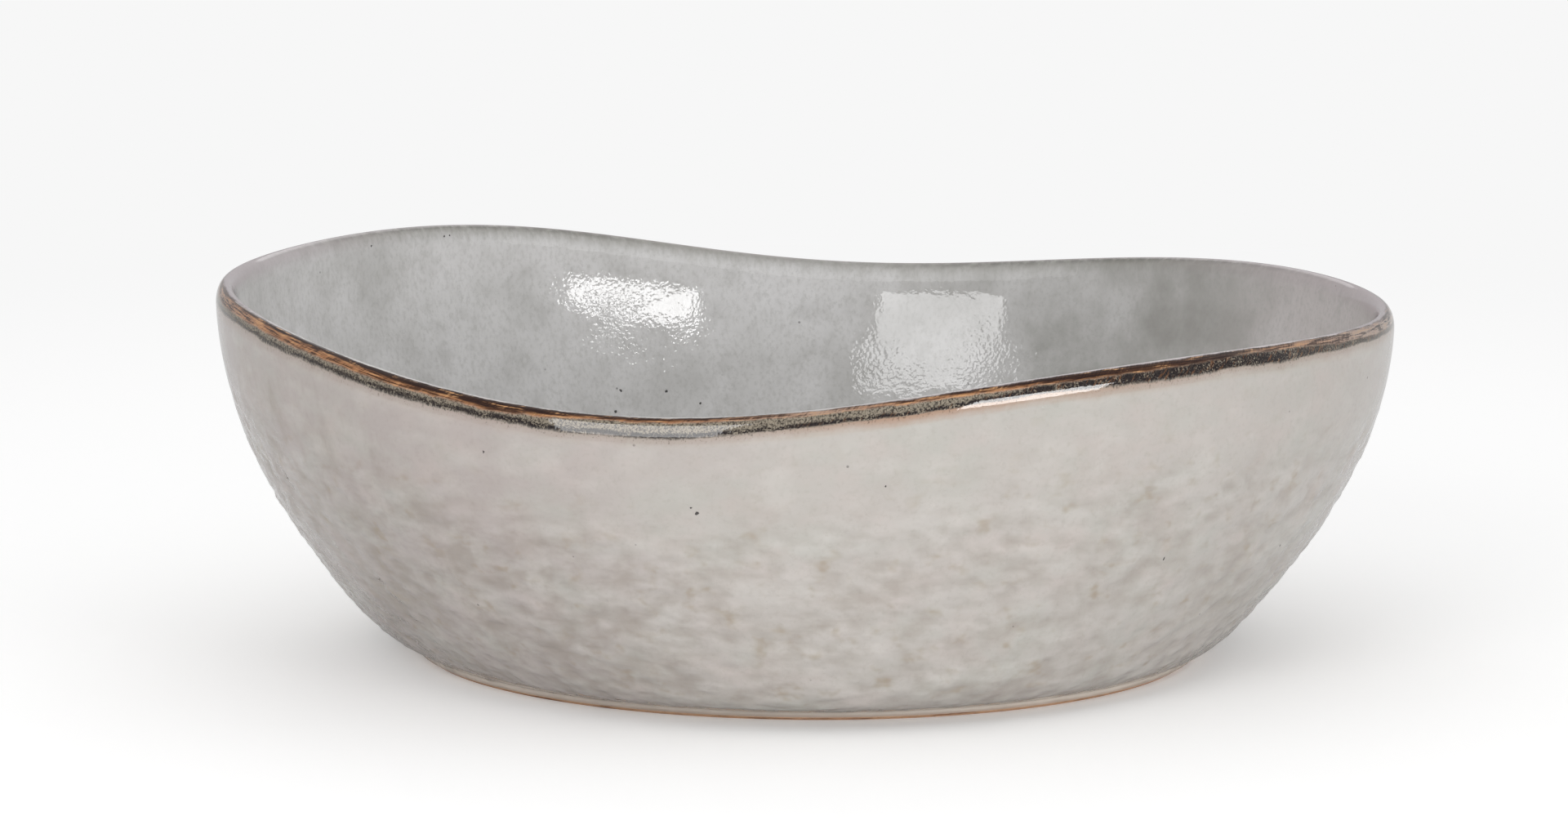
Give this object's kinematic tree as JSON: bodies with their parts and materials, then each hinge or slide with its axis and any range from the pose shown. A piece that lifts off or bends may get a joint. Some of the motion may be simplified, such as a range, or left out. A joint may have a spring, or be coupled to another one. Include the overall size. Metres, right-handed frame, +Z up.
{
  "type": "bowl",
  "caption": "Oval stoneware bowl with a wavy rounded lip, a low foot ring, pale grey glaze and a brown rim.",
  "frame": {"origin": "under the middle of the bowl, on the surface that it stands on", "axes": "+X to the right across the widest way of the rim, +Y to the back, +Z up out of the bowl's mouth"},
  "size_m": [0.2495, 0.2266, 0.0803],
  "materials": {
    "bare_clay": "bare fired stoneware, matt",
    "outside_glaze": "glossy warm grey glaze over soft dents",
    "rim_glaze": "glossy glaze breaking brown, amber and near black",
    "inside_glaze": "glossy pale grey-green glaze",
    "underside_glaze": "glossy warm grey glaze"
  },
  "bodies": {
    "root": {"stoneware_body": "bare_clay", "outside_glaze": "outside_glaze", "rim_glaze": "rim_glaze", "inside_glaze": "inside_glaze", "underside_glaze": "underside_glaze"}
  },
  "joints": []
}
